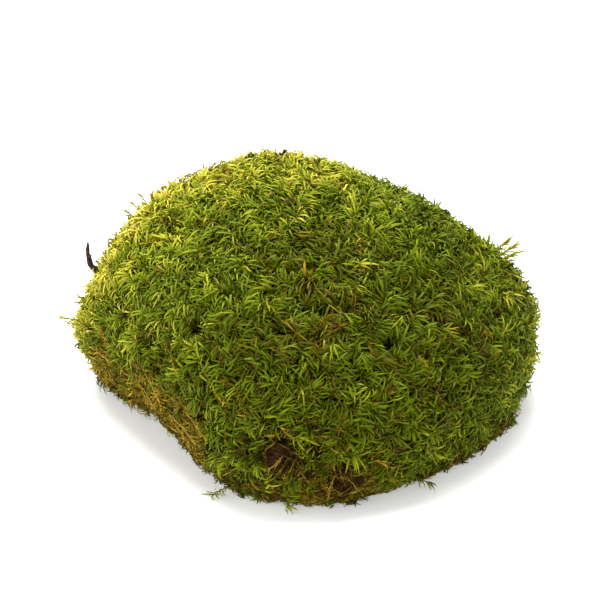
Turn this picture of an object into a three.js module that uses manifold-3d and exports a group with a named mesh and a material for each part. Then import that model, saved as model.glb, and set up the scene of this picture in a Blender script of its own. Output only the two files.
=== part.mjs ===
// A clump of cushion moss as it is lifted from the ground: a lumpy mound of packed green shoots,
// grown on a brown felt of dead stems and rhizoids, with clods of soil held in its front edge and
// stray shoots, dead stems and a twig standing out of it. The clump rests on its felt on z = 0,
// with its narrow nose towards -Y. Millimetres, +Z up.

import * as THREE from "three";
import Module from "manifold-3d";

const wasm = await Module();
wasm.setup();

// Overall sizes. The brim is the widest line round the mound; the crown stands off its middle.
const CLUMP_WIDTH = 120;
const CLUMP_DEPTH = 124;
const CLUMP_HEIGHT = 60;
const CROWN_OFFSET = new THREE.Vector2(-4, 3);
const DOME_FULLNESS = 1.08;

// The felt under the mound: its thickness, how far its foot lies in from the brim, and how far its
// side wanders in and out, in waves round the clump that each start at a bearing.
const MAT_THICKNESS = 7;
const MAT_FOOT_INSET = 4.5;
const MAT_RAGGEDNESS = 1.2;
const MAT_WAVES = [
  { waves: 5, start: 0, share: 1 },
  { waves: 11, start: 40, share: 0.6 },
];

// The mound's under edge lies in from the brim and below it.
const UNDERCUT = 5;
const BRIM_RISE = 10;

// The front left hem has lifted off the ground: how far, at which bearing, over how many degrees to
// either side, how far the felt's foot draws in for each millimetre of lift, and how much of the
// felt's reach stays flat.
const HEM_LIFT = 10;
const HEM_LIFT_BEARING = 204;
const HEM_LIFT_SPREAD = 36;
const HEM_FOOT_DRAW = 1.8;
const FELT_FLAT_SHARE = 0.5;

// The gap that a piece keeps to what it grows in or lies on.
const CLEARANCE = 0.3;

// Shoots that stand out of the mound in tufts: how deep they root, how far the first stands out and
// what share of that each next one is shorter, their girth, how far apart they root, how far their
// tips fan out for each place off the tuft's middle, and how far the tips turn up.
const SHOOT_ROOT = 4;
const SHOOT_STAND = 3.6;
const SHOOT_SHORTENING = 0.12;
const SHOOT_GIRTH = 1.7;
const SHOOT_SPACING = 3.8;
const SHOOT_FAN = 1.2;
const SHOOT_UPTURN = 0.8;

// How thick a stem is from its root to its tip, in shares of its girth.
const STEM_SHAPE = [0.92, 0.98, 1, 0.96, 0.89, 0.81, 0.72, 0.3];

// Dead stems combed along the front left hem, half sunk in it: how far their tips lift off it, the
// tilt at which each row starts, how far each row starts after the one below in shares of a stem's
// stretch, how many degrees a stem sinks on its way, and the bearings that the rows run between.
const DEAD_STEM_LENGTH = 13;
const DEAD_STEM_GIRTH = 1.1;
const DEAD_STEM_LIFT = 2.2;
const DEAD_STEM_ROWS = [-40, -16, 8, 26];
const DEAD_STEMS_IN_ROW = 3;
const DEAD_STEM_STAGGER = 0.22;
const DEAD_STEM_SINK = 10;
const DEAD_STEM_STATIONS = [0, 0.33, 0.66, 1];
const HEM_BEARINGS = [188, 238];

// Shoots that lie on the ground, out of the felt's edge: their length, how deep they root, and how
// far their root, bend and tip are off the ground.
const LYING_SHOOT_LENGTH = 9;
const LYING_SHOOT_ROOT = 5;
const LYING_SHOOT_RISES = [1.1, 0.5, 0.7];

// The twig that stands at the left edge, and the way it leans.
const TWIG_LENGTH = 12.5;
const TWIG_GIRTH = 1.9;
const TWIG_ROOT = 4.5;
const TWIG_BEARING = 170;
const TWIG_TILT = 19;
const TWIG_WAY = new THREE.Vector3(0.1, 0.05, 1).normalize();
const TWIG_CROOK = 1;

// Where the brim passes at every thirty degrees from +X towards +Y, seen from above, in shares of
// half the width and half the depth. The left front side is nearly straight, down to the nose.
const BRIM = [
  [0.97, -0.02], [0.9, 0.38], [0.52, 0.76], [0.0, 1.0], [-0.5, 0.84], [-0.86, 0.46],
  [-1.0, 0.06], [-0.76, -0.38], [-0.44, -0.86], [-0.04, -0.99], [0.4, -0.88], [0.8, -0.48],
];

// Shoulders and dips of the mound: the bearing and tilt of each one's middle in degrees, how wide it
// spreads, and how far it rises.
const LUMPS = [
  { bearing: 172, tilt: 6, spread: 14, rise: 1.2 },
  { bearing: 148, tilt: 40, spread: 14, rise: 2.2 },
  { bearing: 112, tilt: 58, spread: 16, rise: 2.4 },
  { bearing: 14, tilt: 22, spread: 12, rise: 2.6 },
  { bearing: 28, tilt: 44, spread: 13, rise: -1.4 },
  { bearing: 60, tilt: 30, spread: 16, rise: 0.8 },
  { bearing: 95, tilt: 25, spread: 14, rise: -1.8 },
  { bearing: 232, tilt: 40, spread: 14, rise: 1.6 },
  { bearing: 268, tilt: 18, spread: 13, rise: 1.8 },
  { bearing: 290, tilt: 50, spread: 13, rise: -1.4 },
  { bearing: 318, tilt: 30, spread: 15, rise: 1.6 },
  { bearing: 345, tilt: 58, spread: 12, rise: 1.6 },
];

// Tufts of shoots that stand out of the mound.
const TUFTS = [
  { name: "left_shoulder", bearing: 152, tilt: 38, count: 3 },
  { name: "right_shoulder", bearing: 14, tilt: 30, count: 3 },
  { name: "left_brim", bearing: 184, tilt: 4, count: 2 },
  { name: "right_brim", bearing: 348, tilt: 2, count: 3 },
  { name: "back_brim", bearing: 84, tilt: 6, count: 3 },
  { name: "front_hem", bearing: 253, tilt: -24, count: 3 },
];

// Shoots that lie on the ground: the bearing they leave the felt at, and how far they turn aside.
const LYING_SHOOTS = [
  { bearing: 246, turn: -24 },
  { bearing: 265, turn: 8 },
  { bearing: 306, turn: 24 },
];

// Clods of soil in the front edge: the bearing, how far their middle lies in from the brim, the
// height of their middle, and their half lengths.
const CLODS = [
  { bearing: 265, inset: 3.2, height: 17, radii: [5.8, 4.4, 4.4] },
  { bearing: 283, inset: 4, height: 9.5, radii: [5.6, 4.6, 5] },
];

// Bumps of a clod: how many go round it, how much they slant on the way up, and their height as a
// share of its size.
const CLOD_BUMPS = [
  { waves: 3, slant: 0, height: 0.1 },
  { waves: 5, slant: 4, height: 0.06 },
];

// Numbers of facets.
const MOUND_COLUMNS = 60;
const DOME_RINGS = 11;
const UNDER_RINGS = 3;
const MAT_RINGS = 3;
const SEAM_SHARES = [0.5, 0.75];
const CLOD_COLUMNS = 14;
const CLOD_RINGS = 7;
const STEM_COLUMNS = 6;

const materials = {
  shoots: new THREE.MeshStandardMaterial({ color: 0x5c6410, roughness: 0.85, metalness: 0 }),
  felt: new THREE.MeshStandardMaterial({ color: 0x5a4220, roughness: 0.95, metalness: 0 }),
  soil: new THREE.MeshStandardMaterial({ color: 0x33231a, roughness: 0.98, metalness: 0 }),
  deadStem: new THREE.MeshStandardMaterial({ color: 0x8a6a2c, roughness: 0.9, metalness: 0 }),
  bark: new THREE.MeshStandardMaterial({ color: 0x3b2a22, roughness: 0.9, metalness: 0 }),
};

const radians = THREE.MathUtils.degToRad;

// The brim as a closed curve of exactly the clump's width and depth, round the origin.
function makeBrim() {
  const shape = new THREE.CatmullRomCurve3(
    BRIM.map(([x, y]) => new THREE.Vector3(x, y, 0)), true, "catmullrom",
  );
  const box = new THREE.Box3().setFromPoints(shape.getPoints(MOUND_COLUMNS));
  const size = box.getSize(new THREE.Vector3());
  const middle = box.getCenter(new THREE.Vector3());
  const scale = new THREE.Vector3(CLUMP_WIDTH / size.x, CLUMP_DEPTH / size.y, 1);
  return (bearing) => shape.getPoint(bearing / 360 - Math.floor(bearing / 360))
    .sub(middle).multiply(scale);
}

const brimAt = makeBrim();

// The brim moved in towards the middle, at a height.
function insetBrim(bearing, inset, height) {
  const point = brimAt(bearing);
  return point.setLength(point.length() - inset).setZ(height);
}

// How far the hem is lifted at a bearing.
function hemLift(bearing) {
  const turn = THREE.MathUtils.euclideanModulo(bearing - HEM_LIFT_BEARING + 180, 360) - 180;
  return HEM_LIFT * Math.exp(-((turn / HEM_LIFT_SPREAD) ** 2));
}

// The smooth mound without its lumps: tilt is -90 at the under edge, 0 at the brim, 90 at the crown.
function plainMoundPoint(bearing, tilt) {
  const up = Math.sin(radians(tilt));
  const out = Math.cos(radians(tilt));
  const underHeight = MAT_THICKNESS + hemLift(bearing);
  const brimHeight = MAT_THICKNESS + BRIM_RISE + hemLift(bearing) / 2;
  if (tilt <= 0) {
    const height = brimHeight + (brimHeight - underHeight) * up;
    return insetBrim(bearing, UNDERCUT * (1 - out), height);
  }
  const reach = Math.abs(out) ** DOME_FULLNESS;
  const point = brimAt(bearing).multiplyScalar(reach);
  point.x += CROWN_OFFSET.x * (1 - reach);
  point.y += CROWN_OFFSET.y * (1 - reach);
  return point.setZ(brimHeight + (CLUMP_HEIGHT - brimHeight) * up);
}

// A point of the face where mound and felt meet, at a share of the way out to the under edge.
function seamPoint(bearing, share) {
  const bend = Math.max(0, (share - FELT_FLAT_SHARE) / (1 - FELT_FLAT_SHARE));
  return insetBrim(bearing, UNDERCUT, 0).multiplyScalar(share)
    .setZ(MAT_THICKNESS + hemLift(bearing) * bend ** 2);
}

const moundHeart = new THREE.Vector3(0, 0, MAT_THICKNESS + BRIM_RISE);
const lumps = LUMPS.map((lump) => ({ ...lump, middle: plainMoundPoint(lump.bearing, lump.tilt) }));

// The way out of the mound at a point of its skin.
function outwards(point) {
  return point.clone().sub(moundHeart).normalize();
}

// A point of the mound's skin.
function moundPoint(bearing, tilt) {
  const point = plainMoundPoint(bearing, tilt);
  const share = tilt < 0 ? Math.cos(radians(tilt)) : 1;
  let rise = 0;
  for (const lump of lumps) {
    rise += lump.rise * Math.exp(-((point.distanceTo(lump.middle) / lump.spread) ** 2));
  }
  return point.addScaledVector(outwards(point), rise * share);
}

// How far the felt's edge wanders at a bearing.
function raggedness(bearing) {
  return MAT_RAGGEDNESS * MAT_WAVES.reduce((sum, { waves, start, share }) => (
    sum + share * Math.sin(radians(waves * bearing + start))
  ), 0);
}

// A closed solid from rings of as many points each, closed by a point at either end. The rings run
// up the solid, or down it where topDown is true.
function solidFromRings(firstPole, rings, lastPole, topDown = false) {
  const columns = rings[0].length;
  const points = [firstPole, ...rings.flat(), lastPole];
  const last = points.length - 1;
  const index = [];
  for (let column = 0; column < columns; column += 1) {
    const next = (column + 1) % columns;
    index.push(0, 1 + next, 1 + column);
    for (let ring = 0; ring < rings.length - 1; ring += 1) {
      const low = 1 + ring * columns;
      const high = low + columns;
      index.push(low + column, low + next, high + next);
      index.push(low + column, high + next, high + column);
    }
    index.push(last, last - columns + column, last - columns + next);
  }
  return new wasm.Manifold(new wasm.Mesh({
    numProp: 3,
    vertProperties: Float32Array.from(points.flatMap((point) => point.toArray())),
    triVerts: Uint32Array.from(topDown ? index.reverse() : index),
  }));
}

// One ring of a mound or felt, by its bearing in degrees.
function ringOf(pointAt) {
  return Array.from({ length: MOUND_COLUMNS }, (_, column) => pointAt(360 * column / MOUND_COLUMNS));
}

// The mound of packed shoots, hollowed a little where it has grown on the felt.
function makeCushion() {
  const rings = SEAM_SHARES.map((share) => ringOf((bearing) => seamPoint(bearing, share)));
  for (let step = 0; step < UNDER_RINGS; step += 1) {
    rings.push(ringOf((bearing) => moundPoint(bearing, -90 + 90 * step / UNDER_RINGS)));
  }
  for (let step = 0; step < DOME_RINGS; step += 1) {
    rings.push(ringOf((bearing) => moundPoint(bearing, 90 * step / DOME_RINGS)));
  }
  return solidFromRings(seamPoint(0, 0), rings, moundPoint(0, 90));
}

// The felt: a top that follows the mound's underside, a side that draws in, and a flat foot.
function makeMat() {
  const lower = (point) => point.setZ(point.z - CLEARANCE);
  const rings = SEAM_SHARES.map((share) => ringOf((bearing) => lower(seamPoint(bearing, share))));
  for (let step = 0; step <= MAT_RINGS; step += 1) {
    const turn = radians(90 * step / MAT_RINGS);
    rings.push(ringOf((bearing) => {
      const foot = MAT_FOOT_INSET + HEM_FOOT_DRAW * hemLift(bearing);
      const wander = raggedness(bearing) * Math.sin(turn);
      const height = (MAT_THICKNESS + hemLift(bearing) - CLEARANCE) * (1 - Math.sin(turn));
      return insetBrim(bearing, UNDERCUT + (foot - UNDERCUT) * (1 - Math.cos(turn)) + wander, height);
    }));
  }
  return solidFromRings(lower(seamPoint(0, 0)), rings, new THREE.Vector3(0, 0, 0), true);
}

// A lumpy clod of soil, or with a margin the hole that it lies in.
function makeClod(clod, margin) {
  const middle = insetBrim(clod.bearing, clod.inset, clod.height);
  const pointAt = (turn, rise) => {
    const size = CLOD_BUMPS.reduce((sum, { waves, slant, height }) => (
      sum + height * Math.sin(waves * turn + slant * rise + clod.bearing)
    ), 1);
    const [long, wide, high] = clod.radii.map((radius) => radius * size + margin);
    return new THREE.Vector3(
      long * Math.cos(turn) * Math.cos(rise),
      wide * Math.sin(turn) * Math.cos(rise),
      high * Math.sin(rise),
    ).add(middle);
  };
  const rings = [];
  for (let ring = 1; ring < CLOD_RINGS; ring += 1) {
    const rise = Math.PI * (ring / CLOD_RINGS - 0.5);
    rings.push(Array.from({ length: CLOD_COLUMNS }, (_, column) => (
      pointAt(2 * Math.PI * column / CLOD_COLUMNS, rise)
    )));
  }
  const pole = (way) => middle.clone().setZ(middle.z + way * (clod.radii[2] + margin));
  return solidFromRings(pole(-1), rings, pole(1));
}

// A stem along a curve, drawn to a point at both ends; with a margin, the hole or groove that it
// lies in.
function makeStem(curve, girth, margin) {
  const last = STEM_SHAPE.length - 1;
  const frames = curve.computeFrenetFrames(last, false);
  const rings = STEM_SHAPE.map((share, ring) => {
    const radius = share * girth / 2 + margin;
    const middle = curve.getPointAt(ring / last);
    return Array.from({ length: STEM_COLUMNS }, (_, column) => {
      const turn = 2 * Math.PI * column / STEM_COLUMNS;
      return middle.clone()
        .addScaledVector(frames.normals[ring], radius * Math.cos(turn))
        .addScaledVector(frames.binormals[ring], radius * Math.sin(turn));
    });
  });
  const reach = girth / 4 + margin;
  return solidFromRings(
    curve.getPointAt(0).addScaledVector(frames.tangents[0], -reach),
    rings,
    curve.getPointAt(1).addScaledVector(frames.tangents[last], reach),
  );
}

// The bend of a shoot of a tuft: out of the mound, then over towards its tip.
function tuftShootCurve(tuft, number) {
  const place = number - (tuft.count - 1) / 2;
  const wide = plainMoundPoint(tuft.bearing, tuft.tilt).setZ(0).length();
  const aside = THREE.MathUtils.radToDeg(place * SHOOT_SPACING / wide);
  const foot = moundPoint(tuft.bearing + aside, tuft.tilt);
  const out = outwards(foot);
  const stand = SHOOT_STAND * (1 - SHOOT_SHORTENING * number);
  const turnAside = new THREE.Vector3(-out.y, out.x, 0).multiplyScalar(place * SHOOT_FAN);
  const turnUp = new THREE.Vector3(0, 0, SHOOT_UPTURN);
  return new THREE.QuadraticBezierCurve3(
    foot.clone().addScaledVector(out, -SHOOT_ROOT),
    foot.clone().addScaledVector(out, stand / 2),
    foot.clone().addScaledVector(out, stand).add(turnAside).add(turnUp),
  );
}

// A shoot that has fallen out of the felt's edge and lies on the ground.
function lyingShootCurve({ bearing, turn }) {
  const root = insetBrim(bearing, MAT_FOOT_INSET + LYING_SHOOT_ROOT, 0);
  const up = new THREE.Vector3(0, 0, 1);
  const way = root.clone().normalize().applyAxisAngle(up, radians(turn));
  return new THREE.QuadraticBezierCurve3(...LYING_SHOOT_RISES.map((rise, step) => (
    root.clone().addScaledVector(way, LYING_SHOOT_LENGTH * step / 2).setZ(SHOOT_GIRTH / 2 + rise)
  )));
}

// A dead stem that runs along the hem, its far end lifted clear.
function deadStemCurve(row, place) {
  const [from, to] = HEM_BEARINGS;
  const stretch = (to - from) / DEAD_STEMS_IN_ROW;
  const start = from + stretch * (place + DEAD_STEM_STAGGER * row);
  const wide = brimAt(start).length();
  const turn = THREE.MathUtils.radToDeg(DEAD_STEM_LENGTH / wide);
  const points = DEAD_STEM_STATIONS.map((along) => {
    const tilt = DEAD_STEM_ROWS[row] - DEAD_STEM_SINK * along;
    const point = moundPoint(start + turn * along, tilt);
    return point.addScaledVector(outwards(point), DEAD_STEM_LIFT * along ** 3);
  });
  return new THREE.CatmullRomCurve3(points);
}

// The twig: rooted at the left shoulder, with a crook where it leaves the mound.
function twigCurve() {
  const foot = moundPoint(TWIG_BEARING, TWIG_TILT);
  const out = outwards(foot);
  const crook = foot.clone().addScaledVector(out, TWIG_CROOK);
  return new THREE.QuadraticBezierCurve3(
    foot.clone().addScaledVector(out, -TWIG_ROOT),
    crook,
    crook.clone().addScaledVector(TWIG_WAY, TWIG_LENGTH - TWIG_ROOT),
  );
}

// Every slender piece: its name, its curve, its girth and its material.
function listStems() {
  const { shoots, deadStem, bark } = materials;
  const stems = [];
  const addStem = (name, curve, girth, material) => stems.push({ name, curve, girth, material });
  for (const tuft of TUFTS) {
    for (let number = 0; number < tuft.count; number += 1) {
      const name = `${tuft.name}_shoot_${number + 1}`;
      addStem(name, tuftShootCurve(tuft, number), SHOOT_GIRTH, shoots);
    }
  }
  LYING_SHOOTS.forEach((shoot, number) => {
    addStem(`lying_shoot_${number + 1}`, lyingShootCurve(shoot), SHOOT_GIRTH, shoots);
  });
  for (let row = 0; row < DEAD_STEM_ROWS.length; row += 1) {
    for (let place = 0; place < DEAD_STEMS_IN_ROW; place += 1) {
      const name = `dead_stem_${row * DEAD_STEMS_IN_ROW + place + 1}`;
      addStem(name, deadStemCurve(row, place), DEAD_STEM_GIRTH, deadStem);
    }
  }
  addStem("stray_twig", twigCurve(), TWIG_GIRTH, bark);
  return stems;
}

// A named mesh of a finished solid.
function meshOf(name, solid, material) {
  const { vertProperties, triVerts } = solid.getMesh();
  const geometry = new THREE.BufferGeometry();
  geometry.setAttribute("position", new THREE.BufferAttribute(vertProperties, 3));
  geometry.setIndex(new THREE.BufferAttribute(triVerts, 1));
  geometry.computeVertexNormals();
  const mesh = new THREE.Mesh(geometry, material);
  mesh.name = name;
  return mesh;
}

// The whole clump, its holes and grooves cut by what lies in them.
function makeClump() {
  const clump = new THREE.Group();
  let cushion = makeCushion();
  let mat = makeMat();
  CLODS.forEach((clod, number) => {
    const hole = makeClod(clod, CLEARANCE);
    cushion = cushion.subtract(hole);
    mat = mat.subtract(hole);
    clump.add(meshOf(`soil_clod_${number + 1}`, makeClod(clod, 0), materials.soil));
  });
  for (const stem of listStems()) {
    const hole = makeStem(stem.curve, stem.girth, CLEARANCE);
    cushion = cushion.subtract(hole);
    mat = mat.subtract(hole);
    clump.add(meshOf(stem.name, makeStem(stem.curve, stem.girth, 0), stem.material));
  }
  clump.add(meshOf("moss_cushion", cushion, materials.shoots));
  clump.add(meshOf("rhizoid_mat", mat, materials.felt));
  return clump;
}

// The clump is moved so that the middle of its box's bottom is the origin.
const clump = makeClump();
const box = new THREE.Box3().setFromObject(clump);
const middle = box.getCenter(new THREE.Vector3());
clump.position.set(-middle.x, -middle.y, -box.min.z);

const part = new THREE.Group();
part.add(clump);

export default part;
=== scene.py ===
import math
import random

import bmesh
import bpy
import numpy as np
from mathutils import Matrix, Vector, noise


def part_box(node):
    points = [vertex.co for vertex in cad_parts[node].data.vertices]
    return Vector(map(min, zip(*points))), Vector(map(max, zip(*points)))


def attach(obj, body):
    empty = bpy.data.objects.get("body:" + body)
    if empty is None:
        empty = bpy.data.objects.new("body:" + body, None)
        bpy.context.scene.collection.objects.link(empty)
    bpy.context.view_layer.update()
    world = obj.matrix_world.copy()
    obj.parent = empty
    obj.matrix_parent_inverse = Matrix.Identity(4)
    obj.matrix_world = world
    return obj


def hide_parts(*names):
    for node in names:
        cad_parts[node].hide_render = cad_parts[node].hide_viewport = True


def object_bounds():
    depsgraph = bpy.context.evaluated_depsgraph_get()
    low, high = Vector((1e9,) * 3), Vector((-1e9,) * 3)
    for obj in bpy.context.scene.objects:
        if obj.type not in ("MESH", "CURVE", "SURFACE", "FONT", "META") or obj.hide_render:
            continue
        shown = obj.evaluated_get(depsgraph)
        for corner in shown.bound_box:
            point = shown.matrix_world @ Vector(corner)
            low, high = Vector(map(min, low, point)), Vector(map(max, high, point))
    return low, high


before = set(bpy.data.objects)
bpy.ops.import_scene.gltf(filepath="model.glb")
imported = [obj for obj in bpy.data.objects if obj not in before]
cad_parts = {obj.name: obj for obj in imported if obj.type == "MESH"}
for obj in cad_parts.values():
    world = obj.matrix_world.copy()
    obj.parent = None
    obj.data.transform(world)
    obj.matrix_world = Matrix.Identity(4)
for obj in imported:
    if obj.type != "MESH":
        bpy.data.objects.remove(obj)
cad_low, cad_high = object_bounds()

# ---------------------------------------------------------------- Ground, light and camera
# The clump stands on a plain white table under a broad soft light that hangs above and behind it,
# with a weaker one from its left and an even glow from all round and from the table. The lens is
# long.

CAMERA_RISE = math.radians(27)
CAMERA_DISTANCE = 2.5
CAMERA_REACH = 40
WIDTH_SHARE = 0.8
STUDIO_GLOW = 0.68
TABLE_SIZE = 12.0
TABLE_WHITE = (0.9, 0.9, 0.9, 1)
TABLE_ROUGHNESS = 0.8
TABLE_GLOW = 0.34
PURE_WHITE = (1, 1, 1, 1)

centre = (cad_low + cad_high) / 2
camera_data = bpy.data.cameras.new("camera")
camera_data.lens = camera_data.sensor_width * CAMERA_DISTANCE * WIDTH_SHARE / (cad_high.x - cad_low.x)
camera_data.clip_end = CAMERA_REACH
camera = bpy.data.objects.new("camera", camera_data)
back = Vector((0, -math.cos(CAMERA_RISE), math.sin(CAMERA_RISE)))
camera.location = centre + back * CAMERA_DISTANCE
camera.rotation_euler = (-back).to_track_quat("-Z", "Y").to_euler()
bpy.context.scene.collection.objects.link(camera)
bpy.context.scene.camera = camera
bpy.context.scene.view_settings.view_transform = "Standard"


def hang_light(name, place, size, power):
    """A square soft light that hangs at a place and faces the clump."""
    data = bpy.data.lights.new(name, "AREA")
    data.shape = "SQUARE"
    data.size = size
    data.energy = power
    light = bpy.data.objects.new(name, data)
    light.location = place
    light.rotation_euler = (centre - Vector(place)).to_track_quat("-Z", "Y").to_euler()
    bpy.context.scene.collection.objects.link(light)


hang_light("top_light", place=(-0.12, 0.38, 0.9), size=0.8, power=19.5)
hang_light("left_fill", place=(-1.2, -0.1, 0.45), size=0.7, power=6)

world = bpy.data.worlds.new("studio")
bpy.context.scene.world = world
world.use_nodes = True
glow = world.node_tree.nodes["Background"].inputs
glow["Color"].default_value = PURE_WHITE
glow["Strength"].default_value = STUDIO_GLOW

table_mesh = bpy.data.meshes.new("table")
half = TABLE_SIZE / 2
table_mesh.from_pydata([(-half, -half, 0), (half, -half, 0), (half, half, 0), (-half, half, 0)], [],
                       [(0, 1, 2, 3)])
table = bpy.data.objects.new("table", table_mesh)
bpy.context.scene.collection.objects.link(table)
table_white = bpy.data.materials.new("table_white")
table_white.use_nodes = True
table_shader = table_white.node_tree.nodes["Principled BSDF"].inputs
table_shader["Base Color"].default_value = TABLE_WHITE
table_shader["Roughness"].default_value = TABLE_ROUGHNESS
table_shader["Emission Color"].default_value = PURE_WHITE
table_shader["Emission Strength"].default_value = TABLE_GLOW
table_mesh.materials.append(table_white)

# ---------------------------------------------------------------- Felt of rhizoids
# The brown mat that the shoots have grown on: dead stems, hair-like rhizoids and fine soil, felted
# together. It tore off the ground with the clump, so its side is ragged and its foot is flat. It is
# a rumpled skin, with loose fibres planted on it.

MM = 0.001
FELT_VOXEL = 1.1 * MM
FELT_ROUGHNESS = 1.1 * MM
FELT_LUMPS_PER_METRE = 160
FIBRE_LENGTH = 8 * MM
FIBRE_GIRTH = 0.42 * MM
FIBRE_SPACING = 0.9 * MM
FIBRE_FORMS = 5
WELD_REACH = 0.001 * MM
SKIN_ABOVE_TABLE = 0.15 * MM
LEAF_ABOVE_TABLE = 0.1 * MM
TONE_SLANT = 0.004
DENSEST_GROWTH = 4e6
MOTTLE_FINENESS = 3.1


def srgb(red, green, blue):
    """A display colour, 0 to 255, as the linear colour that a shader takes."""
    def linear(value):
        share = value / 255
        return share / 12.92 if share <= 0.04045 else ((share + 0.055) / 1.055) ** 2.4
    return linear(red), linear(green), linear(blue), 1.0


class Wire:
    """An output socket in a node tree. Sums written with it add Math nodes to the tree."""

    def __init__(self, tree, socket):
        self.tree = tree
        self.socket = socket

    def math(self, operation, first, second=0.0):
        return self.tree.add("ShaderNodeMath", {"operation": operation}, {0: first, 1: second})

    def __add__(self, other):
        return self.math("ADD", self, other)

    def __sub__(self, other):
        return self.math("SUBTRACT", self, other)

    def __rsub__(self, other):
        return self.math("SUBTRACT", other, self)

    def __mul__(self, other):
        return self.math("MULTIPLY", self, other)

    def __lt__(self, other):
        return self.math("LESS_THAN", self, other)

    __radd__ = __add__
    __rmul__ = __mul__


class Tree:
    """A node tree under construction, of a material or of geometry."""

    def __init__(self, nodes):
        self.nodes = nodes

    def add(self, kind, settings=None, inputs=None, output=0):
        """Adds a node, sets its settings, then its sockets, and gives its output."""
        node = self.nodes.nodes.new(kind)
        for name, value in (settings or {}).items():
            if name == "stops":
                ramp = node.color_ramp.elements
                while len(ramp) < len(value):
                    ramp.new(0.5)
                for element, (place, colour) in zip(ramp, value):
                    element.position = place
                    element.color = colour
            else:
                setattr(node, name, value)
        for name, value in (inputs or {}).items():
            if isinstance(value, Wire):
                self.nodes.links.new(value.socket, node.inputs[name])
            else:
                node.inputs[name].default_value = value
        return Wire(self, node.outputs[output]) if len(node.outputs) else None


def finish_paint(name, paint):
    """A material whose tree the function paint makes: it gives the shader's sockets."""
    material = bpy.data.materials.new(name)
    material.use_nodes = True
    material.node_tree.nodes.clear()
    tree = Tree(material.node_tree)
    shader = tree.add("ShaderNodeBsdfPrincipled", inputs=paint(tree))
    tree.add("ShaderNodeOutputMaterial", inputs={"Surface": shader})
    return material


def object_noise(tree, scale, detail=4.0, roughness=0.6):
    """A noise in the clump's own coordinates: scale is how many lumps there are to a metre."""
    place = tree.add("ShaderNodeTexCoord", output="Object")
    return tree.add("ShaderNodeTexNoise", inputs={
        "Vector": place, "Scale": scale, "Detail": detail, "Roughness": roughness,
    })


def paint_felt(tree):
    """Brown felt, blotched and gritty."""
    blotches = object_noise(tree, scale=140)
    grit = object_noise(tree, scale=1100, detail=3.0, roughness=0.7)
    colour = tree.add("ShaderNodeValToRGB", {"stops": [
        (0.28, srgb(30, 20, 6)), (0.45, srgb(76, 52, 18)), (0.58, srgb(120, 88, 32)),
        (0.74, srgb(160, 126, 56)),
    ]}, {"Fac": blotches * 0.55 + grit * 0.45})
    height = blotches * 0.5 + grit
    bump = tree.add("ShaderNodeBump", inputs={"Height": height, "Distance": 0.6 * MM, "Strength": 0.9})
    return {"Base Color": colour, "Roughness": 0.95 - grit * 0.2, "Normal": bump,
            "Specular IOR Level": 0.2}


def add_piece(name, mesh, material):
    """A new object of the clump, at the origin, with its place in its mesh."""
    piece = bpy.data.objects.new(name, mesh)
    mesh.materials.clear()
    mesh.materials.append(material)
    bpy.context.scene.collection.objects.link(piece)
    return piece


def plain_mesh(piece, name):
    """The piece's mesh with its modifiers applied, as a new mesh. The piece itself is removed."""
    graph = bpy.context.evaluated_depsgraph_get()
    mesh = bpy.data.meshes.new_from_object(piece.evaluated_get(graph), depsgraph=graph)
    mesh.name = name
    bpy.data.objects.remove(piece)
    return mesh


def reskinned(node, voxel):
    """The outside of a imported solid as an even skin, its holes for single stems closed over."""
    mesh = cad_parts[node].data.copy()
    solid = bmesh.new()
    solid.from_mesh(mesh)
    bmesh.ops.remove_doubles(solid, verts=solid.verts, dist=WELD_REACH)
    solid.to_mesh(mesh)
    solid.free()
    piece = bpy.data.objects.new("skin", mesh)
    bpy.context.scene.collection.objects.link(piece)
    remesh = piece.modifiers.new("remesh", "REMESH")
    remesh.mode = "VOXEL"
    remesh.voxel_size = voxel
    smooth = piece.modifiers.new("smooth", "SMOOTH")
    smooth.factor = 0.5
    smooth.iterations = 6
    skin = plain_mesh(piece, node + "_skin")
    skin.shade_smooth()
    return skin


def places_of(mesh):
    """The places of a mesh's vertices, one row each."""
    places = np.empty(len(mesh.vertices) * 3, np.float32)
    mesh.vertices.foreach_get("co", places)
    return places.reshape(-1, 3)


def put_places(mesh, places):
    """Moves a mesh's vertices to the given places."""
    mesh.vertices.foreach_set("co", places.astype(np.float32).ravel())
    mesh.update()


def normals_of(mesh):
    """The normals of a mesh's vertices, one row each."""
    return np.array([vertex.normal for vertex in mesh.vertices])


def unit_rows(ways):
    """The given rows, each made 1 long."""
    return ways / np.maximum(np.linalg.norm(ways, axis=1, keepdims=True), 1e-6)


def rumple(mesh, depth, lumps_per_metre):
    """Moves a skin in and out along its normals by a fractal noise, and keeps it off the table."""
    places = places_of(mesh)
    normals = normals_of(mesh)
    for index, (place, normal) in enumerate(zip(places.copy(), normals)):
        spot = Vector(place) * lumps_per_metre
        move = noise.fractal(spot, 0.9, 2.1, 4)
        places[index] = place + normal * move * depth
    places[:, 2] = np.maximum(places[:, 2], SKIN_ABOVE_TABLE)
    put_places(mesh, places)


def sow(skin, grows, tone, browned, comb):
    """Writes on a skin how thickly forms grow there, their tone, the share of them that is browned,
    and which way they are combed: one value for the whole skin, or one for each vertex."""
    count = len(skin.vertices)
    for name, values in (("grows", grows), ("tone", tone), ("browned", browned)):
        layer = skin.attributes.get(name) or skin.attributes.new(name, "FLOAT", "POINT")
        layer.data.foreach_set("value", np.broadcast_to(values, count).astype(np.float32))
    layer = skin.attributes.get("comb") or skin.attributes.new("comb", "FLOAT_VECTOR", "POINT")
    layer.data.foreach_set("vector", np.broadcast_to(comb, (count, 3)).astype(np.float32).ravel())


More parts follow.
